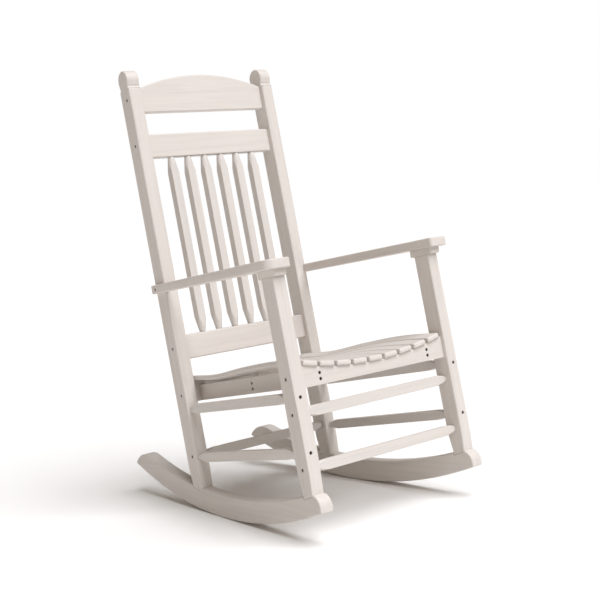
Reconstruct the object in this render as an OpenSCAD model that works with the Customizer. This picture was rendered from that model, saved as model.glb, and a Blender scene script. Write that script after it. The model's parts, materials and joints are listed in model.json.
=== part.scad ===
// Porch rocking chair in painted wood, built as separate pieces that fit together.
// Every piece is drawn in the axes of the side frames: X across the chair,
// Y from front to back, Z up along the posts. stance() then leans the whole
// chair back on its rockers, to where it balances on the floor.

/* [Stance] */
// Lean of the posts when the empty chair balances on its rockers, degrees
lean = 8; // [4:0.1:14]
// Outer width over the rear posts, at their front faces
rear_outer_w = 476; // [380:1:600]
// Outer width over the front posts
front_outer_w = 522; // [420:1:660]

/* [Posts] */
// Front face of the rear posts to the middle of the front posts
post_span = 490; // [400:1:600]
// Width of a rear post
rear_post_w = 37; // [30:0.5:50]
// Depth of a rear post
rear_post_d = 53; // [42:0.5:70]
// Height of the rear post shoulders above the frame's base line
rear_post_top = 762; // [680:1:900]
// Radius of the round knob on a rear post
knob_r = 26.5; // [20:0.5:34]
// Height of the knob's middle above the post's shoulders
knob_rise = 23; // [18:0.5:40]
// Radius of the small cove under the knob
knob_cove_r = 6; // [3:0.5:9]
// Width of a front post
front_post_w = 34; // [28:0.5:50]
// Depth of a front post
front_post_d = 50; // [40:0.5:65]
// Height of the front post tops above the frame's base line
front_post_top = 171; // [120:1:240]
// How far a post's foot tapers in at the front
foot_taper_front = 4.5; // [0:0.5:9]
// How far a post's foot tapers in at the back
foot_taper_back = 8.5; // [0:0.5:14]
// Height over which a foot tapers
foot_taper_h = 48; // [20:1:90]

/* [Rockers] */
// Thickness of a rocker
rocker_w = 36; // [28:0.5:50]
// Radius of the rocker's rolling edge
rocker_r = 1275; // [1000:5:1600]
// Distance of the rolling edge's centre in front of the rear posts
rocker_centre_back = 255; // [180:1:330]
// Depth of the rolling edge's lowest point below the base line
rocker_low = 406; // [360:1:480]
// Radius of the rocker's top edge
rocker_top_r = 1340; // [1050:5:1700]
// Distance of the top edge's lowest point in front of the rear posts
rocker_top_back = 280; // [200:1:350]
// Height of the rocker at the top edge's lowest point
rocker_h = 56; // [44:1:80]
// Length of the rocker's top edge behind the rear posts' front faces
rocker_tail = 276; // [200:1:380]
// Radius of the rocker's rear end
rocker_tail_r = 78; // [50:1:100]
// How far the rocker's nose reaches beyond the front posts
rocker_nose = 19; // [12:1:60]
// Radius of the rocker's nose
rocker_nose_r = 30; // [10:1:34]
// Depth of the flat seat for a post in the rocker's top edge
rocker_notch = 7; // [3:0.5:12]

/* [Arms] */
// Thickness of an arm board
arm_t = 23.5; // [16:0.5:32]
// Slope of the arm, rising to the back, degrees
arm_slope = 2.1; // [0:0.1:5]
// Reach of the arm beyond the front posts' front faces
arm_overhang = 25; // [15:1:60]
// Width that the arm stands out beyond the front posts
arm_out_front = 26; // [15:0.5:45]
// Width that the arm stands out beyond the rear posts
arm_out_rear = 14; // [12:0.5:30]
// Width of the arm on the inner side of the front posts' outer faces
arm_in_front = 41; // [35:0.5:70]
// Width of the lip that meets the rear post's front face
arm_lip = 9; // [4:0.5:20]
// Reach of the arm behind the rear posts' back faces
arm_tail = 5; // [3:0.5:20]
// Radius of the arm's outer front corner
arm_corner_r = 22; // [6:1:30]
// Radius of the arm's other corners
arm_soft_r = 7; // [2:0.5:9]
// Thickness of the block between a front post and its arm
block_t = 16; // [10:0.5:30]
// Reach of the block beyond the post, at the front and at the back
block_overhang = 12; // [4:0.5:20]

/* [Back] */
// Thickness of the back rails
back_rail_t = 20; // [16:0.5:28]
// Setback of the back rails behind the rear posts' front faces
back_rail_inset = 11; // [4:0.5:16]
// Height of the upper back rail
upper_rail_h = 65; // [45:1:90]
// Gap between the crest rail and the upper back rail
crest_gap = 59; // [30:1:100]
// Height of the crest rail at its ends
crest_end_h = 66; // [45:1:90]
// Rise of the crest rail's arch
crest_rise = 37; // [10:1:60]
// Height of the lower back rail
lower_rail_h = 66; // [45:1:90]
// Bottom of the lower back rail above the base line
lower_rail_z = 22; // [10:1:80]
// Bottom of the upper back rail above the base line
upper_rail_z = 569.5; // [480:0.5:640]
// Number of back spindles
spindle_count = 6; // [6:1:6]
// Spacing of the back spindles
spindle_pitch = 53.4; // [40:0.1:62]
// Width of a spindle
spindle_w = 23; // [16:0.5:34]
// Depth of a spindle
spindle_d = 23; // [16:0.5:34]
// Radius of a spindle's neck where it meets a rail
spindle_neck_r = 8.5; // [7:0.1:9.5]
// Length of a spindle's turned taper
spindle_taper = 48; // [25:1:90]

/* [Seat] */
// Number of seat slats
slat_count = 9; // [9:1:9]
// Width of a slat
slat_w = 42; // [30:0.5:43]
// Thickness of a slat
slat_t = 13; // [10:0.5:20]
// Gap between the outer slats and the front posts
slat_gap_front = 11; // [4:0.5:18]
// Gap between the outer slats and the rear posts
slat_gap_back = 4; // [3:0.5:5]
// Hollow of the seat from its sides to its middle
seat_dish = 19; // [0:1:34]
// Height of the outer slats' tops at the rear posts, below the base line
seat_drop = 27; // [10:1:60]
// Depth of the hollow along a slat
seat_hollow = 6; // [0:0.5:12]
// Fall of a slat over its rolled front end
seat_roll = 5; // [0:0.5:14]
// Height of the seat's front rail under the outer slats
front_rail_h = 52; // [36:0.5:70]
// Setback of the front rail behind the front posts' front faces
front_rail_inset = 9; // [3:0.5:20]
// Thickness of the seat's rails
seat_rail_t = 20; // [14:0.5:26]
// Height of the seat's side rails
side_rail_h = 42; // [28:0.5:60]
// Distance of each side rail's middle from the rear post's inner face
side_rail_inset = 27.5; // [24:0.5:60]
// Distance of the middle support in front of the rear posts
mid_support_y = 236; // [150:1:360]

/* [Stretchers] */
// Height of a stretcher
stretcher_h = 25; // [18:0.5:34]
// Thickness of a stretcher
stretcher_t = 17; // [14:0.5:24]
// Radius of a stretcher's neck where it meets a post
stretcher_neck_r = 8.4; // [7.8:0.1:10]
// Length of a stretcher's turned taper
stretcher_taper = 42; // [20:1:80]
// Depth of the front stretchers' middles below the base line, upper then lower
front_stretcher_upper_z = 147.5; // [130:0.5:170]
// Depth of the lower front stretcher's middle below the base line
front_stretcher_lower_z = 275; // [262:0.5:284]
// Depth of the upper side stretchers' middles below the base line
side_stretcher_upper_z = 109.5; // [96:0.5:122]
// Depth of the lower side stretchers' middles below the base line
side_stretcher_lower_z = 238.5; // [200:0.5:248]
// Depth of the rear stretcher's middle below the base line
rear_stretcher_z = 234.5; // [190:0.5:280]

/* [Joints and screws] */
// Radius of the round tenons on spindles and stretchers
tenon_r = 7; // [5:0.1:7.6]
// Length of the round tenons
tenon_l = 11; // [8:0.5:13]
// Clearance round a tenon in its socket
tenon_gap = 0.15; // [0.05:0.05:0.4]
// Gap in a butt joint between two boards
seam_gap = 0.2; // [0.05:0.05:0.4]
// Diameter of a screw's head
screw_head_d = 8; // [6:0.5:10]
// Diameter of a screw's shank
screw_shank_d = 4.5; // [3:0.1:6]
// Depth at which a screw's head is sunk below the surface
screw_sink = 2.5; // [1:0.5:5]
// Clearance round a screw
screw_gap = 0.25; // [0.1:0.05:0.5]
// Diameter of the bolts that hold the posts on the rockers
bolt_shank_d = 6; // [5:0.5:8]
// Diameter of a bolt's head
bolt_head_d = 13; // [10:0.5:16]
// Length of a bolt's shank
bolt_l = 70; // [60:1:90]

/* [Hidden] */

$fn = 64;
arc_fn = 240;       // facets asked for on the long arcs
paint = [0.91, 0.88, 0.85];
steel = [0.45, 0.44, 0.42];
left = -1;
right = 1;
reach = 2000;       // larger than the chair, for the cutting blocks
head_h = 2.4;       // height of a screw head
bolt_head_h = 5;
bolt_sink = 4;      // depth at which a bolt's head is sunk in the rocker
slot_w = 1.2;       // width of a screw's cross recess
slot_depth = 1;
side_screw_l = 42;  // length of the shanks of the screws through the posts' sides
rail_screw_l = 38;  // and through the seat's front rail
support_screw_l = 36;
arm_screw_l = 28;

// Side frames: each lies in its own upright plane, wider apart at the front.
splay = atan((front_outer_w - rear_outer_w) / 2 / post_span);
front_post_y = -post_span - front_post_d / 2;
front_post_back = front_post_y + front_post_d;

// Rocker circles
rocker_centre = [-rocker_centre_back, rocker_r - rocker_low];
rocker_top_centre = [-rocker_top_back, rocker_h - rocker_low + rocker_top_r];
tail_angle = asin((rocker_tail + rocker_top_back) / rocker_top_r);
knob_neck_inset = 2.5;
tail_centre = rocker_top_centre
    + (rocker_top_r + rocker_tail_r) * [sin(tail_angle), -cos(tail_angle)];
nose_y = front_post_y - rocker_nose;

// Where a post stands on its rocker
function rocker_angle(y) = asin((y - rocker_centre[0]) / rocker_r);
function rocker_top_z(y) =
    rocker_top_centre[1] - sqrt(pow(rocker_top_r, 2) - pow(y - rocker_top_centre[0], 2));
rear_foot = rear_post_d / 2 + (foot_taper_front - foot_taper_back) / 2;
front_foot = front_post_y + front_post_d / 2 + (foot_taper_front - foot_taper_back) / 2;

// Point where two circles meet, on the side away from the first one's start
function circles_meet(c1, r1, c2, r2) =
    let (d = norm(c2 - c1), u = (c2 - c1) / d, a = (r1 * r1 - r2 * r2 + d * d) / (2 * d))
    c1 + a * u + sqrt(r1 * r1 - a * a) * [-u[1], u[0]];

// Arm board, as a plan in its own slope, with its top at arm_top at the rear post
arm_front_y = front_post_y - arm_overhang;
arm_tail_y = rear_post_d + arm_tail;
block_top = front_post_top + seam_gap + block_t;
arm_under = block_top + seam_gap + (post_span + block_reach()) * tan(arm_slope);
function block_reach() = front_post_d / 2 + block_overhang;
arm_top = arm_under + arm_t / cos(arm_slope);
function arm_outer(y) = arm_out_rear + (arm_out_front - arm_out_rear) * y / arm_front_y;

// Stance: the rolling edge touches the floor at z = 0, and the chair's
// front-to-back extent is centred on y = 0.
function lean_y(y, z) = y * cos(lean) + z * sin(lean);
tail_tip = circles_meet(rocker_centre, rocker_r, tail_centre, rocker_tail_r);
back_reach = max(lean_y(tail_tip[0] * cos(splay), tail_tip[1]),
    lean_y(rear_post_d * cos(splay), rear_post_top + knob_rise));
arm_front_chair_y = arm_front_y * cos(splay) * cos(arm_slope) - arm_in_front * sin(splay);
arm_front_z = arm_top + arm_front_y * sin(arm_slope);
nose_tip_z = rocker_centre[1] - sqrt(pow(rocker_r, 2) - pow(nose_y - rocker_centre[0], 2));
front_reach = min(lean_y(arm_front_chair_y, arm_front_z),
    lean_y(nose_y * cos(splay) - rocker_w * sin(splay), nose_tip_z));
stance_y = -(back_reach + front_reach) / 2;
stance_z = rocker_r * sqrt(pow(cos(splay) * sin(lean), 2) + pow(cos(lean), 2))
    + rocker_centre[0] * cos(splay) * sin(lean) - rocker_centre[1] * cos(lean);

// Distance from the chair's middle to a plane of the side frame, at a given y
function side_x(y, inset) = rear_outer_w / 2 - inset / cos(splay) - y * tan(splay);

// Back
back_y = back_rail_inset + back_rail_t / 2;
crest_z = upper_rail_z + upper_rail_h + crest_gap;
crest_half = side_x(back_rail_inset, rear_post_w);
crest_r = (pow(crest_half, 2) + pow(crest_rise, 2)) / (2 * crest_rise);
spindle_z = lower_rail_z + lower_rail_h;
spindle_l = upper_rail_z - spindle_z;

// Seat
front_rail_y = front_post_y + front_rail_inset;
slat_front_y = front_post_y + 2;
slat_back_y = back_y + seat_rail_t / 2 + 2;
slat_mid = (slat_count + 1) / 2;
slat_fan_l = slat_back_y - slat_front_y;
slat_pitch_front = (side_x(slat_front_y, front_post_w) - slat_gap_front - slat_w / 2)
    / (slat_mid - 1);
slat_pitch_back = (side_x(slat_back_y, rear_post_w) - slat_gap_back - slat_w / 2)
    / (slat_mid - 1);
side_rail_x = side_x(back_y, rear_post_w) - side_rail_inset;
slat_step = seat_dish / pow(slat_mid - 1, 2);
slat_pitch = (slat_pitch_front + slat_pitch_back) / 2;
function slat_roll(i) = atan(2 * slat_step * (i - slat_mid) / slat_pitch);
function slat_top(i) = -seat_drop - seat_dish + slat_step * pow(i - slat_mid, 2);
// Height of a slat's top along the seat: a hollow to the back, a swell, a rolled front
function slat_curve(y) =
    let (u = (slat_back_y - y) / slat_fan_l)
    -seat_hollow * (u < 0.5 ? (1 - cos(720 * u)) / 2 : 0)
    + seat_hollow * 0.6 * (u < 0.4 ? 0 : (1 - cos(180 * min(1, (u - 0.4) / 0.3))) / 2)
    - (seat_roll + seat_hollow * 0.6) * (u < 0.72 ? 0 : 1 - cos(90 * (u - 0.72) / 0.28));
slat_steps = 32;
slat_room_h = 60;   // height cleared above the slats in their supports
seat_rail_under = -seat_drop - slat_t - front_rail_h;
side_rail_gap = 5;  // between a side rail's top and the slats at their lowest
side_rail_top = -seat_drop - seat_hollow - slat_t - side_rail_gap;

// Screws. Each entry is [y, z] on the outer face of a post.
rear_screw_spots = [
    [back_y, crest_z + crest_end_h / 2 + 4], [back_y, upper_rail_z + upper_rail_h / 2 + 3],
    [back_y, lower_rail_z + lower_rail_h / 2], [back_y, side_rail_top - side_rail_h / 2 + 1],
    [back_y, -rear_stretcher_z]
];
front_screw_spots = [
    [-post_span, seat_rail_under + front_rail_h / 2 + 1],
    [-post_span, -front_stretcher_upper_z], [-post_span, -front_stretcher_lower_z]
];
side_stretcher_inset = 15.5;
mid_screw_z = [side_rail_top - side_rail_h * 0.37, side_rail_top - side_rail_h * 0.71];
front_screw_z = [mid_screw_z[0] + 2.3, mid_screw_z[1] + 2.3];
arm_screw_y = rear_post_d / 2 + 6;

module stance() {
    translate([0, stance_y, stance_z]) rotate([-lean, 0, 0]) children();
}

// Puts a child drawn for the right-hand side frame in its place. Its outer face
// is x = 0, the inside of the chair is at -x, and y = 0 is the rear post's front.
module side_frame(hand) {
    if (hand == right) translate([rear_outer_w / 2, 0, 0]) rotate([0, 0, splay]) children();
    else mirror([1, 0, 0]) translate([rear_outer_w / 2, 0, 0]) rotate([0, 0, splay]) children();
}

// Turns a y-z outline into a board of the given thickness, with its outer face at x = 0
module board(t) {
    translate([-t, 0, 0]) rotate([90, 0, 90]) linear_extrude(t) children();
}

// Trims a cross piece to the inner faces of both side frames
module between_sides(inset) {
    difference() {
        children();
        for (hand = [left, right])
            side_frame(hand)
                translate([-inset - seam_gap, -reach / 2, -reach / 2]) cube(reach);
    }
}

// All that lies above the flat seat for a post in the rocker
module above_seat(foot_y) {
    translate([foot_y, rocker_top_z(foot_y) - rocker_notch]) rotate(rocker_angle(foot_y))
        translate([-reach / 2, 0]) square(reach);
}

// A plain post, or with some room round it the notch that its foot stands in
module post_outline(y, d, top, foot_y, room = 0) {
    foot_z = rocker_top_z(foot_y) - 2 * rocker_notch;
    taper_z = rocker_top_z(foot_y) + foot_taper_h;
    front = y - room;
    back = y + d + room;
    intersection() {
        polygon([
            [front, top], [back, top], [back, taper_z], [back - foot_taper_back, foot_z],
            [front + foot_taper_front, foot_z], [front, taper_z]
        ]);
        translate([0, seam_gap - room]) above_seat(foot_y);
    }
}

module screw(l) {
    difference() {
        union() {
            cylinder(h = head_h, d = screw_head_d);
            translate([0, 0, -l]) cylinder(h = l + head_h / 2, d = screw_shank_d);
        }
        for (turn = [0, 90])
            rotate(turn) translate([-screw_head_d / 3, -slot_w / 2, head_h - slot_depth])
                cube([screw_head_d / 1.5, slot_w, head_h]);
    }
}

module screw_hole(l) {
    translate([0, 0, -seam_gap]) cylinder(h = reach / 10, d = screw_head_d + 2 * screw_gap);
    translate([0, 0, -l - seam_gap]) cylinder(h = l + 1, d = screw_shank_d + 2 * screw_gap);
}

// The same screws as solids or as the holes that they sit in
module sunk_screw(l, hole) {
    translate([0, 0, -screw_sink - head_h]) {
        if (hole) screw_hole(l);
        else screw(l);
    }
}

module side_screws(hand, spots, hole) {
    side_frame(hand)
        for (spot = spots)
            translate([0, spot[0], spot[1]]) rotate([0, 90, 0]) sunk_screw(side_screw_l, hole);
}

module front_face_screws(hand, hole) {
    side_frame(hand)
        for (z = [-side_stretcher_upper_z, -side_stretcher_lower_z])
            translate([-side_stretcher_inset, front_post_y, z])
                rotate([90, 0, 0]) sunk_screw(front_post_d - 4, hole);
}

module front_rail_screws(hole) {
    for (hand = [left, right], z = front_screw_z)
        translate([hand * side_rail_x, front_rail_y, z]) rotate([90, 0, 0]) sunk_screw(rail_screw_l, hole);
}

module side_rail_screws(hole) {
    for (hand = [left, right], z = mid_screw_z)
        translate([hand * (side_rail_x + seat_rail_t / 2), -mid_support_y, z])
            rotate([0, hand * 90, 0]) sunk_screw(support_screw_l, hole);
}

module arm_screw(hand, hole) {
    side_frame(hand)
        translate([arm_outer(arm_screw_y), arm_screw_y, arm_top - arm_t / 2 + 1])
            rotate([0, 90, 0]) sunk_screw(arm_screw_l, hole);
}

module rocker_bolt_set(hand, hole) {
    side_frame(hand)
        for (y = [rear_foot, front_foot])
            translate([-rocker_w / 2, rocker_centre[0], rocker_centre[1]])
                rotate([rocker_angle(y), 0, 0])
                    translate([0, 0, bolt_sink + bolt_head_h - rocker_r]) rocker_bolt(hole);
}

module rocker_bolt(hole) {
    extra = hole ? screw_gap : 0;
    translate([0, 0, hole ? -reach / 10 : -bolt_head_h])
        cylinder(h = hole ? reach / 10 + extra : bolt_head_h, d = bolt_head_d + 2 * extra);
    translate([0, 0, -1]) cylinder(h = bolt_l + 1 + extra, d = bolt_shank_d + 2 * extra);
}

// Round tenon sockets, cut into posts along the chair's width
module cross_sockets(spots, w) {
    for (spot = spots, hand = [left, right])
        translate([hand * (side_x(spot[0], w) - 2), spot[0], spot[1]]) rotate([0, hand * 90, 0])
            cylinder(h = tenon_l + 2 + 2 * seam_gap, r = tenon_r + tenon_gap);
}

module side_sockets(y, way) {
    for (z = [-side_stretcher_upper_z, -side_stretcher_lower_z])
        translate([-side_stretcher_inset, y, z]) rotate([-90 * way, 0, 0])
            translate([0, 0, -2]) cylinder(h = tenon_l + 2 + seam_gap, r = tenon_r + tenon_gap);
}

// A square-edged bar along +z with turned, tapered ends and a round tenon at each end
module turned_bar(w, d, l, neck_r, taper, tenon) {
    corner_r = norm([w, d]) / 2 + 0.5;
    intersection() {
        translate([-w / 2, -d / 2, 0]) cube([w, d, l]);
        rotate_extrude() polygon([
            [0, 0], [neck_r, 0], [corner_r, taper], [corner_r, l - taper], [neck_r, l], [0, l]
        ]);
    }
    translate([0, 0, -tenon]) cylinder(h = l + 2 * tenon, r = tenon_r);
}

// Square shoulders and a coved neck at the top of the plain post
module rear_post_outline() {
    difference() {
        post_outline(0, rear_post_d, rear_post_top + knob_rise, rear_foot);
        for (y = [-rear_post_d, rear_post_d - knob_neck_inset])
            translate([y, rear_post_top]) square([rear_post_d + knob_neck_inset, knob_rise + 1]);
        for (y = [-knob_cove_r / 3, rear_post_d + knob_cove_r / 3])
            translate([y, rear_post_top + knob_cove_r / 2]) circle(r = knob_cove_r);
    }
}

module rear_post(hand) {
    color(paint) stance() difference() {
        side_frame(hand) difference() {
            union() {
                board(rear_post_w) rear_post_outline();
                translate([-rear_post_w, rear_post_d / 2, rear_post_top + knob_rise])
                    rotate([0, 90, 0]) cylinder(h = rear_post_w, r = knob_r);
            }
            side_sockets(0, 1);
        }
        side_screws(hand, rear_screw_spots, true);
        arm_screw(hand, true);
        cross_sockets([[back_y, -rear_stretcher_z]], rear_post_w);
        rocker_bolt_set(hand, true);
    }
}

module front_post(hand) {
    color(paint) stance() difference() {
        side_frame(hand) difference() {
            board(front_post_w)
                post_outline(front_post_y, front_post_d, front_post_top, front_foot);
            side_sockets(front_post_back, -1);
        }
        side_screws(hand, front_screw_spots, true);
        front_face_screws(hand, true);
        cross_sockets([
            [-post_span, -front_stretcher_upper_z], [-post_span, -front_stretcher_lower_z]
        ], front_post_w);
        rocker_bolt_set(hand, true);
    }
}

module rocker_outline() {
    difference() {
        intersection() {
            difference() {
                translate(rocker_centre) circle(r = rocker_r, $fn = arc_fn);
                translate(rocker_top_centre) circle(r = rocker_top_r, $fn = arc_fn);
            }
            union() {
                intersection() {
                    translate(rocker_top_centre) rotate(tail_angle)
                        translate([-reach, -reach]) square(reach);
                    translate([nose_y + rocker_nose_r, -reach / 2]) square(reach);
                }
                translate([nose_y, -reach / 2])
                    square([rocker_nose_r, reach / 2 + nose_z()]);
                translate([nose_y + rocker_nose_r, nose_z()]) circle(r = rocker_nose_r);
                translate(tail_centre) circle(r = rocker_tail_r);
            }
        }
        post_outline(0, rear_post_d, 0, rear_foot, seam_gap);
        post_outline(front_post_y, front_post_d, 0, front_foot, seam_gap);
    }
}

// Height of the middle of the nose's curve, which ends on the rocker's top edge
function nose_z() = rocker_top_z(nose_y + rocker_nose_r) - rocker_nose_r - 1;

module rocker(hand) {
    color(paint) stance() difference() {
        side_frame(hand) board(rocker_w) rocker_outline();
        rocker_bolt_set(hand, true);
    }
}

// Points of a rounded corner at b, between a and c
function corner(a, b, c, r) =
    let (
        u = (a - b) / norm(a - b), v = (c - b) / norm(c - b),
        half = acos(u * v) / 2, mid = b + (u + v) / norm(u + v) * r / sin(half),
        from = b + u * r / tan(half) - mid, to = b + v * r / tan(half) - mid, steps = 8
    )
    [for (i = [0:steps]) let (p = from + (to - from) * i / steps) mid + p / norm(p) * r];

module arm_plan() {
    front_out = [arm_outer(arm_front_y), arm_front_y];
    front_in = [-arm_in_front, arm_front_y];
    lip = [-arm_lip, -seam_gap];
    notch = [seam_gap, -seam_gap];
    tail_in = [seam_gap, arm_tail_y];
    tail_out = [arm_outer(arm_tail_y), arm_tail_y];
    polygon(concat(
        corner(lip, front_in, front_out, arm_soft_r),
        corner(front_in, front_out, tail_out, arm_corner_r),
        corner(front_out, tail_out, tail_in, arm_soft_r),
        [tail_in, notch, lip]
    ));
}

module arm(hand) {
    color(paint) stance() difference() {
        side_frame(hand)
            translate([0, 0, arm_under]) rotate([arm_slope, 0, 0])
                linear_extrude(arm_t) arm_plan();
        arm_screw(hand, true);
    }
}

module arm_block(hand) {
    top_back = block_top + 2 * block_reach() * tan(arm_slope);
    color(paint) stance() side_frame(hand) board(front_post_w) polygon([
        [-post_span - block_reach(), front_post_top + seam_gap + 5],
        [-post_span - block_reach() + 5, front_post_top + seam_gap],
        [-post_span + block_reach(), front_post_top + seam_gap],
        [-post_span + block_reach(), top_back], [-post_span - block_reach(), block_top]
    ]);
}

module back_rail(z, h, sockets) {
    color(paint) stance() difference() {
        between_sides(rear_post_w)
            translate([-crest_half - 10, back_rail_inset, z])
                cube([2 * crest_half + 20, back_rail_t, h]);
        rear_holes();
        for (i = [1:spindle_count])
            translate([spindle_x(i), back_y, sockets])
                cylinder(h = tenon_l + 2, r = tenon_r + tenon_gap);
    }
}

module rear_holes() {
    side_screws(left, rear_screw_spots, true);
    side_screws(right, rear_screw_spots, true);
}

module front_holes() {
    side_screws(left, front_screw_spots, true);
    side_screws(right, front_screw_spots, true);
}

function spindle_x(i) = (i - (spindle_count + 1) / 2) * spindle_pitch;

module crest_rail() {
    color(paint) stance() difference() {
        between_sides(rear_post_w)
            translate([0, back_rail_inset + back_rail_t, crest_z]) rotate([90, 0, 0])
                linear_extrude(back_rail_t) intersection() {
                    translate([-crest_half - 10, 0])
                        square([2 * crest_half + 20, crest_end_h + crest_rise]);
                    translate([0, crest_end_h + crest_rise - crest_r])
                        circle(r = crest_r, $fn = arc_fn);
                }
        rear_holes();
    }
}

module upper_back_rail() { back_rail(upper_rail_z, upper_rail_h, upper_rail_z - 1); }

module lower_back_rail() {
    back_rail(lower_rail_z, lower_rail_h, lower_rail_z + lower_rail_h - tenon_l - 1);
}

module spindle(i) {
    color(paint) stance() translate([spindle_x(i), back_y, spindle_z + seam_gap])
        turned_bar(spindle_w, spindle_d, spindle_l - 2 * seam_gap, spindle_neck_r,
            spindle_taper, tenon_l - 1);
}

// Side view of a slat, from its back end at y = 0 to its rolled front end,
// reaching from up above its top down to its underside
module slat_outline(up) {
    line = [for (i = [0:slat_steps])
        let (y = slat_back_y - slat_fan_l * i / slat_steps) [y - slat_back_y, slat_curve(y)]];
    under = [for (i = [slat_steps:-1:0]) line[i] - [0, slat_t]];
    polygon(concat([for (p = line) p + [0, up]], under));
}

// Puts a child drawn on the middle of slat i, at its top at the back, in its place
module on_slat(i) {
    x_back = (i - slat_mid) * slat_pitch_back;
    x_front = (i - slat_mid) * slat_pitch_front;
    translate([x_back, slat_back_y, slat_top(i)])
        rotate([0, 0, atan((x_front - x_back) / slat_fan_l)])
            rotate([0, -slat_roll(i), 0]) children();
}

module seat_slat(i) {
    color(paint) stance() on_slat(i)
        translate([slat_w / 2, 0, 0]) board(slat_w) slat_outline(0);
}

// Room for the slats, and for all above them, in whatever supports them
module slat_room() {
    half = slat_pitch_front / 2 + 0.5;
    for (i = [1:slat_count]) {
        out_left = i == 1 ? slat_w : half;
        out_right = i == slat_count ? slat_w : half;
        on_slat(i) translate([out_right, 0, -seam_gap])
            board(out_left + out_right) slat_outline(slat_room_h);
    }
}

module seat_front_rail() {
    color(paint) stance() difference() {
        between_sides(front_post_w)
            translate([-front_outer_w / 2, front_rail_y, seat_rail_under])
                cube([front_outer_w, seat_rail_t, front_rail_h + 8]);
        slat_room();
        front_holes();
        front_rail_screws(true);
    }
}

module seat_rear_rail() {
    color(paint) stance() difference() {
        between_sides(rear_post_w)
            translate([-rear_outer_w / 2, back_rail_inset, side_rail_top - side_rail_h])
                cube([rear_outer_w, seat_rail_t, side_rail_h + seat_hollow + slat_t]);
        slat_room();
        rear_holes();
    }
}

module seat_side_rail(hand) {
    rail_front = front_rail_y + seat_rail_t + seam_gap;
    color(paint) stance() difference() {
        translate([hand * side_rail_x - seat_rail_t / 2, rail_front, side_rail_top - side_rail_h])
            cube([seat_rail_t, back_rail_inset - seam_gap - rail_front, side_rail_h]);
        slat_room();
        front_rail_screws(true);
        side_rail_screws(true);
    }
}

module seat_mid_support() {
    half = side_rail_x - seat_rail_t / 2 - seam_gap;
    color(paint) stance() difference() {
        translate([-half, -mid_support_y - seat_rail_t / 2, side_rail_top - side_rail_h])
            cube([2 * half, seat_rail_t, side_rail_h + seat_hollow + slat_t + 10]);
        slat_room();
        side_rail_screws(true);
    }
}

module cross_stretcher(y, z, w) {
    half = side_x(y, w);
    color(paint) stance() difference() {
        union() {
            between_sides(w) translate([-half - 1, y, z]) rotate([0, 90, 0])
                turned_bar(stretcher_h, stretcher_t, 2 * half + 2, stretcher_neck_r,
                    stretcher_taper, 0);
            translate([-half - tenon_l, y, z]) rotate([0, 90, 0])
                cylinder(h = 2 * (half + tenon_l), r = tenon_r);
        }
        if (y < 0) front_holes();
        else rear_holes();
    }
}

module side_stretcher(hand, z) {
    color(paint) stance() difference() {
        side_frame(hand) translate([-side_stretcher_inset, -seam_gap, z]) rotate([90, 0, 0])
            turned_bar(stretcher_t, stretcher_h, -front_post_back - 2 * seam_gap,
                stretcher_neck_r, stretcher_taper, tenon_l - 1);
        front_face_screws(hand, true);
    }
}

module rear_post_screws() {
    color(steel) stance() for (hand = [left, right]) side_screws(hand, rear_screw_spots, false);
}

module front_post_screws() {
    color(steel) stance() for (hand = [left, right]) {
        side_screws(hand, front_screw_spots, false);
        front_face_screws(hand, false);
    }
}

module seat_frame_screws() {
    color(steel) stance() {
        front_rail_screws(false);
        side_rail_screws(false);
    }
}

module arm_screws() {
    color(steel) stance() for (hand = [left, right]) arm_screw(hand, false);
}

module rocker_bolts() {
    color(steel) stance() for (hand = [left, right]) rocker_bolt_set(hand, false);
}

rear_post(left);  // rear_post_left
rear_post(right);  // rear_post_right
front_post(left);  // front_post_left
front_post(right);  // front_post_right
rocker(left);  // rocker_left
rocker(right);  // rocker_right
arm(left);  // arm_left
arm(right);  // arm_right
arm_block(left);  // arm_block_left
arm_block(right);  // arm_block_right
crest_rail();
upper_back_rail();
lower_back_rail();
for (i = [1:spindle_count])
    spindle(i);
seat_front_rail();
seat_rear_rail();
seat_side_rail(left);  // seat_side_rail_left
seat_side_rail(right);  // seat_side_rail_right
seat_mid_support();
for (i = [1:slat_count])
    seat_slat(i);
cross_stretcher(-post_span, -front_stretcher_upper_z, front_post_w);  // front_stretcher_upper
cross_stretcher(-post_span, -front_stretcher_lower_z, front_post_w);  // front_stretcher_lower
side_stretcher(left, -side_stretcher_upper_z);  // side_stretcher_upper_left
side_stretcher(right, -side_stretcher_upper_z);  // side_stretcher_upper_right
side_stretcher(left, -side_stretcher_lower_z);  // side_stretcher_lower_left
side_stretcher(right, -side_stretcher_lower_z);  // side_stretcher_lower_right
cross_stretcher(back_y, -rear_stretcher_z, rear_post_w);  // rear_stretcher
rear_post_screws();
front_post_screws();
seat_frame_screws();
arm_screws();
rocker_bolts();
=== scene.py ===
# Painted porch rocking chair: rounds the edges of each timber piece, paints it, and lights it.
import bpy
import bmesh
import json
import math
import numpy as np
from mathutils import Matrix, Vector
from mathutils.bvhtree import BVHTree
from mathutils.kdtree import KDTree


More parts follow.
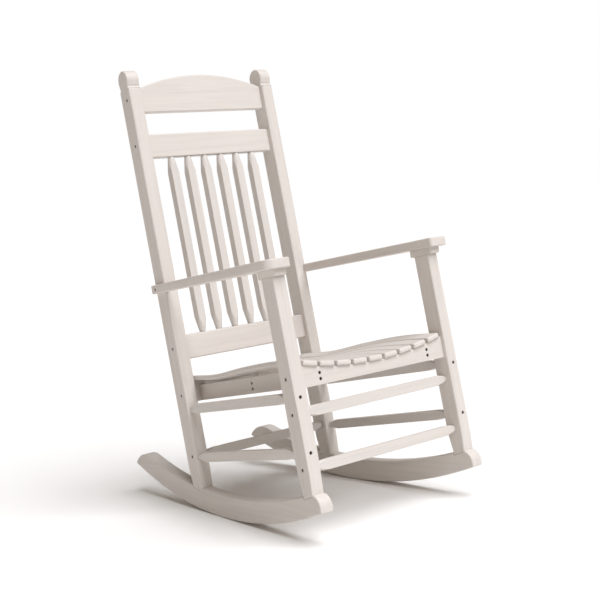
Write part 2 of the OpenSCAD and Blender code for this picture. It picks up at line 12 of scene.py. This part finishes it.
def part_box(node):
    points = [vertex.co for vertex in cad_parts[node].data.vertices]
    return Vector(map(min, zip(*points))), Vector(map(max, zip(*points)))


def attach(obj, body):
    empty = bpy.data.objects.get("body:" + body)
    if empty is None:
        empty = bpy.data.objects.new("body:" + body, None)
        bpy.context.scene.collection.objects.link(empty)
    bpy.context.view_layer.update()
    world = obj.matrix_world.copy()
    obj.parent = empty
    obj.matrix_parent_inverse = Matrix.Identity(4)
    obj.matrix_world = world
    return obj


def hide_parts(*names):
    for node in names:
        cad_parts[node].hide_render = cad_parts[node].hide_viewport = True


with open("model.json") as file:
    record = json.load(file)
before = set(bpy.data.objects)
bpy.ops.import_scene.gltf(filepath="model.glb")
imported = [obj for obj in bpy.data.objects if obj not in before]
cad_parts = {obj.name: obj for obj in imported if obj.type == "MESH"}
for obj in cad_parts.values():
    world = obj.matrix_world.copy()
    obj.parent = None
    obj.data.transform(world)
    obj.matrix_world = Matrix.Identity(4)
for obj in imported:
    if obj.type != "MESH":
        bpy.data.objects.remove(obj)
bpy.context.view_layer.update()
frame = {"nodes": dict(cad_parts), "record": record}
nodes = frame["nodes"]
slotOf = {s["node"]: s["material_slot"] for s in frame["record"]["subparts"]}
timberNames = sorted(n for n in nodes if slotOf[n].startswith("painted"))
metalNames = sorted(n for n in nodes if not slotOf[n].startswith("painted"))
print("loaded", len(timberNames), "timber pieces and", len(metalNames), "groups of fasteners")


def newMaterial(name):
    material = bpy.data.materials.new(name)
    material.use_nodes = True
    tree = material.node_tree
    tree.nodes.clear()
    output = tree.nodes.new("ShaderNodeOutputMaterial")
    shader = tree.nodes.new("ShaderNodeBsdfPrincipled")
    tree.links.new(shader.outputs["BSDF"], output.inputs["Surface"])
    return material, tree, shader


def addNode(tree, kind, **settings):
    # inputs are given as in_Name, a number or a link; anything else is a property of the node
    made = tree.nodes.new(kind)
    for key, value in settings.items():
        if not key.startswith("in_"):
            setattr(made, key, value)
    for key, value in settings.items():
        if key.startswith("in_"):
            label = key[3:]
            socket = made.inputs[int(label)] if label.isdigit() else made.inputs[label]
            if isinstance(value, bpy.types.NodeSocket):
                tree.links.new(value, socket)
            else:
                socket.default_value = value
    return made


def ramp(tree, factor, stops):
    made = addNode(tree, "ShaderNodeValToRGB", in_0=factor)
    elements = made.color_ramp.elements
    while len(elements) < len(stops):
        elements.new(0.5)
    for element, (place, colour) in zip(elements, stops):
        element.position = place
        element.color = (*colour, 1)
    return made.outputs["Color"]


def mapped(tree, value, span, result):
    return addNode(tree, "ShaderNodeMapRange", in_Value=value, in_1=span[0], in_2=span[1],
                   in_3=result[0], in_4=result[1]).outputs[0]


def times(tree, first, second):
    return addNode(tree, "ShaderNodeMath", operation="MULTIPLY",
                   in_0=first, in_1=second).outputs[0]


def scaled(colour, amount):
    return tuple(min(1, c * amount) for c in colour)


paintLook = {
    "colour": (0.672, 0.630, 0.598),    # warm antique white
    "wornTone": (0.70, 0.63, 0.56),     # a thinner, warmer film along the edges
    "wornShare": 0.5,                   # how far an edge goes towards the worn tone
    "wornPores": (0.42, 0.62), "wornPatch": (0.25, 1.0),    # the worn film is broken by the pores
    "patterns": {       # per metre across the board and along it, detail, roughness, distortion
        "grain": (95, 95 / 26, 5.0, 0.6, 0.35),
        "pores": (420, 14, 3.0, 0.55, 0),
        "brush": (210, 3.2, 2.0, 0.5, 0),
        "cloud": (7, 3.5, 2.0, 0.5, 0),
    },
    "boardShift": 7.3,                  # how far apart two boards lie in the patterns
    "grainTone": 0.085, "grainLift": 0.45,      # darkening of a grain line, share for lightening
    "grainStops": (0.30, 0.52, 0.74),
    "cloudTone": (0.035, 0.04025, 0.049),       # slow change of tone, strongest in the blue
    "cloudStops": (0.32, 0.68),
    "roughness": (0.40, 0.58), "brushSpan": (0.3, 0.7), "wornRoughness": 0.12,
    "gloss": 0.42, "coat": 0.08, "coatRoughness": 0.35,
    "brushDepth": 0.00008, "grainDepth": 0.00034, "poreDepth": 0.00009,
}


def paintMaterial(name, tint, grainShare, shift):
    look = paintLook
    material, tree, shader = newMaterial(name)
    place = addNode(tree, "ShaderNodeTexCoord").outputs["Object"]
    ofBoard = addNode(tree, "ShaderNodeAttribute", attribute_name="boardTone").outputs["Fac"]
    worn = addNode(tree, "ShaderNodeAttribute", attribute_name="edgeWear").outputs["Fac"]
    offset = addNode(tree, "ShaderNodeMath", operation="MULTIPLY_ADD",
                     in_0=ofBoard, in_1=look["boardShift"], in_2=shift).outputs[0]
    offsets = addNode(tree, "ShaderNodeCombineXYZ", in_X=offset, in_Y=offset, in_Z=offset)
    moved = addNode(tree, "ShaderNodeVectorMath", operation="ADD",
                    in_0=place, in_1=offsets.outputs[0]).outputs[0]

    def pattern(kind):
        across, along, detail, roughness, distortion = look["patterns"][kind]
        stretched = addNode(tree, "ShaderNodeVectorMath", operation="MULTIPLY",
                            in_0=moved, in_1=(along, across, across)).outputs[0]
        return addNode(tree, "ShaderNodeTexNoise", in_Vector=stretched, in_Scale=1.0,
                       in_Detail=detail, in_Roughness=roughness,
                       in_Distortion=distortion).outputs["Fac"]

    grain, pores, brush, cloud = [pattern(k) for k in ("grain", "pores", "brush", "cloud")]

    base = scaled(look["colour"], tint)
    tone = look["grainTone"] * grainShare
    grainTones = (scaled(base, 1 - tone), base, scaled(base, 1 + look["grainLift"] * tone))
    cloudTones = (tuple(1 - c for c in look["cloudTone"]), (1, 1, 1))
    clouded = addNode(tree, "ShaderNodeMix", data_type="RGBA", blend_type="MULTIPLY", in_0=1.0,
                      in_6=ramp(tree, grain, list(zip(look["grainStops"], grainTones))),
                      in_7=ramp(tree, cloud, list(zip(look["cloudStops"], cloudTones))))
    # the film is thinner along the edges, in broken patches
    wornHere = times(tree, worn, mapped(tree, pores, look["wornPores"], look["wornPatch"]))
    final = addNode(tree, "ShaderNodeMix", data_type="RGBA",
                    in_0=times(tree, wornHere, look["wornShare"]),
                    in_6=clouded.outputs[2], in_7=(*scaled(look["wornTone"], tint), 1))
    tree.links.new(final.outputs[2], shader.inputs["Base Color"])

    rough = addNode(tree, "ShaderNodeMath", operation="MULTIPLY_ADD", use_clamp=True,
                    in_0=wornHere, in_1=look["wornRoughness"],
                    in_2=mapped(tree, brush, look["brushSpan"], look["roughness"]))
    tree.links.new(rough.outputs[0], shader.inputs["Roughness"])
    shader.inputs["Specular IOR Level"].default_value = look["gloss"]
    shader.inputs["Coat Weight"].default_value = look["coat"]
    shader.inputs["Coat Roughness"].default_value = look["coatRoughness"]

    bump = None
    for height, depth in ((brush, look["brushDepth"]), (grain, look["grainDepth"] * grainShare),
                          (pores, look["poreDepth"])):
        made = addNode(tree, "ShaderNodeBump", in_Strength=1.0, in_Distance=depth,
                       in_Height=height)
        if bump:
            tree.links.new(bump, made.inputs["Normal"])
        bump = made.outputs["Normal"]
    tree.links.new(bump, shader.inputs["Normal"])
    return material


paintKinds = {      # tint of each group of pieces, share of the grain that shows
    "painted_posts": (1.0, 1.0), "painted_rockers": (0.975, 1.15), "painted_arms": (1.0, 1.0),
    "painted_back_rails": (1.0, 1.1), "painted_spindles": (0.995, 0.8),
    "painted_slats": (1.0, 0.9), "painted_seat_rails": (0.985, 1.0),
    "painted_stretchers": (0.985, 0.85),
}
kindShift = 1.7     # how far apart two groups lie in the patterns
paints = {}
for number, (slotName, (tint, grainShare)) in enumerate(sorted(paintKinds.items())):
    paints[slotName] = paintMaterial(slotName.replace("painted_", "paintedTimber_"), tint,
                                     grainShare, kindShift * number)
print("made", len(paints), "paints")

# screw heads: a steel whose colour is darkened to near black as painted shade for the holes they
# sit in; the lighter spots are dust
screwLookWithPaintedHoleShade = {
    "colour": (0.030, 0.028, 0.026), "dusty": (0.085, 0.078, 0.070), "dustStops": (0.35, 0.7),
    "spots": 900.0, "spotDetail": 4.0, "spotRoughness": 0.6, "spotDepth": 0.00006,
    "roughness": (0.42, 0.66), "spotSpan": (0.3, 0.7), "metallic": 0.6,
}


def screwMaterialWithPaintedHoleShade():
    look = screwLookWithPaintedHoleShade
    # near-black screw colour, painted shade for the screw holes, with dust spots
    material, tree, shader = newMaterial("nearBlackScrewsWithPaintedHoleShade")
    place = addNode(tree, "ShaderNodeTexCoord").outputs["Object"]
    spots = addNode(tree, "ShaderNodeTexNoise", in_Vector=place, in_Scale=look["spots"],
                    in_Detail=look["spotDetail"],
                    in_Roughness=look["spotRoughness"]).outputs["Fac"]
    tones = list(zip(look["dustStops"], (look["colour"], look["dusty"])))
    tree.links.new(ramp(tree, spots, tones), shader.inputs["Base Color"])
    tree.links.new(mapped(tree, spots, look["spotSpan"], look["roughness"]),
                   shader.inputs["Roughness"])
    shader.inputs["Metallic"].default_value = look["metallic"]
    bump = addNode(tree, "ShaderNodeBump", in_Strength=1.0, in_Distance=look["spotDepth"],
                   in_Height=spots)
    tree.links.new(bump.outputs["Normal"], shader.inputs["Normal"])
    return material


steel = screwMaterialWithPaintedHoleShade()
for name in metalNames:
    nodes[name].data.materials.clear()
    nodes[name].data.materials.append(steel)

edgeLook = {        # radius of the rounded edges of each kind of piece
    "rear_post": 0.0042, "front_post": 0.0040, "rocker": 0.0036, "arm": 0.0034,
    "arm_block": 0.0025, "crest_rail": 0.0040, "upper_back_rail": 0.0038,
    "lower_back_rail": 0.0038, "spindle": 0.0018, "seat_slat": 0.0045,
    "seat_front_rail": 0.0030, "seat_rear_rail": 0.0025, "seat_side_rail": 0.0025,
    "seat_mid_support": 0.0025, "stretcher": 0.0030,
}
edgeRules = {
    "steps": 3,             # facets across a rounded edge
    "profile": 0.5,         # a round arc
    "sharpest": 26,         # a fold of fewer degrees than this stays as it is
    "creased": 38,          # a fold of more degrees than this is shaded as an edge
    "flat": 0.4,            # triangles within this many degrees are one face
    "weld": 0.00002,
    "nearJoint": 0.0009,    # an edge this close to another piece is a joint line
    "jointShare": 0.34,     # share of the rounding that a joint line gets
    "nearScrew": 0.0047,
    "holeShare": 0.14,
    "neckLength": 0.02,     # shorter edges of a turned bar are at its ends
    "neckShare": 0.10,
    "tipWidth": 0.02,       # edges this wide run across a rocker, at its nose and tail
    "tipShare": 0.45,
    "clamped": ("stretcher", "spindle", "seat_front", "seat_rear", "seat_side", "seat_mid"),
    "areaWeight": 50,
    "toneSteps": 97,        # how many tones the boards are spread over
}


def edgeRadius(name):
    fits = [k for k in edgeLook if k in name]
    return edgeLook[max(fits, key=len)]


def cleanCopy(node):
    # welds the triangles of a CAD node and joins them into flat faces
    bm = bmesh.new()
    bm.from_mesh(nodes[node].data)
    bmesh.ops.remove_doubles(bm, verts=bm.verts, dist=edgeRules["weld"])
    bmesh.ops.dissolve_limit(bm, angle_limit=math.radians(edgeRules["flat"]),
                             verts=bm.verts, edges=bm.edges)
    bmesh.ops.recalc_face_normals(bm, faces=bm.faces)
    return bm


def grainAxes(bm):
    # long axis first, thin axis last, from the spread of the surface
    centre, weight = Vector(), 0
    for f in bm.faces:
        centre += f.calc_center_median() * f.calc_area()
        weight += f.calc_area()
    centre /= weight
    points = np.array([(f.calc_center_median() - centre)[:] for f in bm.faces])
    points = np.concatenate([points, [(v.co - centre)[:] for v in bm.verts]])
    axes = np.linalg.eigh(points.T @ points)[1]
    along = Vector(axes[:, 2])
    if along[max(range(3), key=lambda k: abs(along[k]))] < 0:
        along.negate()
    thin = Vector(axes[:, 0])
    side = thin.cross(along).normalized()
    thin = along.cross(side).normalized()
    place = Matrix((along, side, thin)).transposed().to_4x4()
    place.translation = centre
    return place


meshes = {name: cleanCopy(name) for name in timberNames}
surfaces = {name: BVHTree.FromBMesh(bm) for name, bm in meshes.items()}
boxes = {name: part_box(name) for name in timberNames}
screwPoints = [v.co.copy() for name in metalNames for v in nodes[name].data.vertices]
screwTree = KDTree(len(screwPoints))
for i, p in enumerate(screwPoints):
    screwTree.insert(p, i)
screwTree.balance()


def touchesOther(point, own):
    reach = edgeRules["nearJoint"]
    for other in timberNames:
        if other == own:
            continue
        low, high = boxes[other]
        if all(low[k] - reach <= point[k] <= high[k] + reach for k in range(3)):
            if surfaces[other].find_nearest(point, reach)[0] is not None:
                return True
    return False


def roundingShare(edge, name):
    # how much of the piece's radius one edge gets
    rules = edgeRules
    if len(edge.link_faces) != 2 or edge.calc_face_angle(0) < math.radians(rules["sharpest"]):
        return 0
    ends = [v.co for v in edge.verts]
    turned = "spindle" in name or "stretcher" in name
    if all(screwTree.find(p)[2] < rules["nearScrew"] for p in ends):
        return rules["holeShare"]
    if touchesOther((ends[0] + ends[1]) / 2, name):
        return rules["jointShare"]
    if turned and edge.calc_length() < rules["neckLength"]:
        return rules["neckShare"]
    if "rocker" in name and abs((ends[1] - ends[0]).x) > rules["tipWidth"]:
        return rules["tipShare"]
    return 1


def timberMesh(name, bm):
    mesh = bpy.data.meshes.new(name + "_timber")
    bm.to_mesh(mesh)
    bm.free()
    for extra in ("custom_normal", "sharp_edge", "sharp_face"):
        if extra in mesh.attributes:
            mesh.attributes.remove(mesh.attributes[extra])
    while mesh.uv_layers:
        mesh.uv_layers.remove(mesh.uv_layers[0])
    mesh.materials.clear()
    mesh.materials.append(paints[slotOf[name]])
    mesh.materials.append(steel)        # only marks the rounded edges, and is taken off again
    return mesh


def roundedPiece(name):
    bm = meshes[name]
    layer = bm.edges.layers.float.new("bevel_weight_edge")
    for e in bm.edges:
        e[layer] = roundingShare(e, name)
    place = grainAxes(bm)
    bm.transform(place.inverted())
    sharp = timberMesh(name, bm)
    piece = bpy.data.objects.new(name + "_timber", sharp)
    bpy.context.scene.collection.objects.link(piece)
    piece.matrix_world = place
    bevel = piece.modifiers.new("roundedEdges", "BEVEL")
    bevel.limit_method = "WEIGHT"
    bevel.width = edgeRadius(name)
    bevel.segments = edgeRules["steps"]
    bevel.profile = edgeRules["profile"]
    bevel.use_clamp_overlap = any(k in name for k in edgeRules["clamped"])
    bevel.material = 1
    bevel.miter_outer = "MITER_ARC"
    bpy.context.view_layer.update()
    shaped = bpy.data.meshes.new_from_object(piece.evaluated_get(
        bpy.context.evaluated_depsgraph_get()))
    piece.modifiers.clear()
    piece.data = shaped
    bpy.data.meshes.remove(sharp)
    finishPiece(piece, name)
    return piece


def finishPiece(piece, name):
    # stores where the edges are worn and the board's own tone, then shades the faces flat
    mesh = piece.data
    wear = np.zeros(len(mesh.vertices), np.float32)
    for p in mesh.polygons:
        if p.material_index == 1:
            wear[list(p.vertices)] = 1
            p.material_index = 0
    mesh.materials.pop(index=1)
    mesh.attributes.new("edgeWear", "FLOAT", "POINT").data.foreach_set("value", wear)
    steps = edgeRules["toneSteps"]
    tone = (sum(ord(c) * (i + 3) for i, c in enumerate(name)) % steps) / steps
    mesh.attributes.new("boardTone", "FLOAT", "POINT").data.foreach_set(
        "value", np.full(len(mesh.vertices), tone, np.float32))
    mesh.shade_smooth()
    mesh.set_sharp_from_angle(angle=math.radians(edgeRules["creased"]))
    weighted = piece.modifiers.new("flatFaces", "WEIGHTED_NORMAL")
    weighted.mode = "FACE_AREA"
    weighted.weight = edgeRules["areaWeight"]
    weighted.keep_sharp = True


faceCount = 0
for name in timberNames:
    piece = roundedPiece(name)
    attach(piece, "root")
    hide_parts(name)
    faceCount += len(piece.data.polygons)
print("rounded and painted", len(timberNames), "timber pieces,", faceCount, "faces")

studio = {
    "floorHalf": 30.0, "floorSquares": 8, "floorDrop": 0.0006,
    "floorTone": (0.94, 0.93, 0.915), "floorRoughness": 0.9, "floorGloss": 0.1,
    "skySeen": 1.0, "skyLight": 0.24,       # the white surroundings, as seen and as they light
    "skyColour": (1.0, 0.90, 0.80),
    "key": {"towards": (0.10, -0.50, 0.860), "strength": 3.42, "softness": 44,
            "colour": (0.98, 1.0, 1.04)},
    "side": {"towards": (-0.92, -0.10, 0.35), "strength": 0.06, "softness": 60,
             "colour": (1.0, 0.72, 0.45)},
    "cameraAt": (-1.8097, -2.4746, 0.7730), "cameraAim": (0.0497, -0.0443, 0.5258),
    "cameraRoll": -5.758, "lens": 69.25, "filmWidth": 36,
}


def makeFloor():
    bm = bmesh.new()
    bmesh.ops.create_grid(bm, x_segments=studio["floorSquares"],
                          y_segments=studio["floorSquares"], size=studio["floorHalf"])
    mesh = bpy.data.meshes.new("studioFloor")
    bm.to_mesh(mesh)
    bm.free()
    floor = bpy.data.objects.new("studioFloor", mesh)
    bpy.context.scene.collection.objects.link(floor)
    floor.location.z = -studio["floorDrop"]
    material, tree, shader = newMaterial("paleFloor")
    shader.inputs["Base Color"].default_value = (*studio["floorTone"], 1)
    shader.inputs["Roughness"].default_value = studio["floorRoughness"]
    shader.inputs["Specular IOR Level"].default_value = studio["floorGloss"]
    mesh.materials.append(material)


def softSun(name):
    spec = studio[name]
    data = bpy.data.lights.new(name + "Light", "SUN")
    data.energy = spec["strength"]
    data.color = spec["colour"]
    data.angle = math.radians(spec["softness"])
    lamp = bpy.data.objects.new(name + "Light", data)
    bpy.context.scene.collection.objects.link(lamp)
    lamp.rotation_euler = Vector(spec["towards"]).to_track_quat("Z", "Y").to_euler()


def makeSky():
    world = bpy.data.worlds.new("studioSky")
    world.use_nodes = True
    tree = world.node_tree
    tree.nodes.clear()
    seen = addNode(tree, "ShaderNodeBackground", in_Color=(1, 1, 1, 1),
                   in_Strength=studio["skySeen"])
    light = addNode(tree, "ShaderNodeBackground", in_Color=(*studio["skyColour"], 1),
                    in_Strength=studio["skyLight"])
    path = addNode(tree, "ShaderNodeLightPath")
    mixed = addNode(tree, "ShaderNodeMixShader", in_0=path.outputs["Is Camera Ray"],
                    in_1=light.outputs[0], in_2=seen.outputs[0])
    output = tree.nodes.new("ShaderNodeOutputWorld")
    tree.links.new(mixed.outputs[0], output.inputs["Surface"])
    bpy.context.scene.world = world
    bpy.context.scene.view_settings.view_transform = "Standard"


def makeCamera():
    data = bpy.data.cameras.new("mainCamera")
    data.lens = studio["lens"]
    data.sensor_width = studio["filmWidth"]
    camera = bpy.data.objects.new("mainCamera", data)
    bpy.context.scene.collection.objects.link(camera)
    at, aim = Vector(studio["cameraAt"]), Vector(studio["cameraAim"])
    turn = (aim - at).to_track_quat("-Z", "Y").to_matrix().to_4x4()
    camera.matrix_world = (Matrix.Translation(at) @ turn
                           @ Matrix.Rotation(math.radians(studio["cameraRoll"]), 4, "Z"))
    bpy.context.scene.camera = camera


makeFloor()
softSun("key")
softSun("side")
makeSky()
makeCamera()
print("set the floor, the lights and the camera")
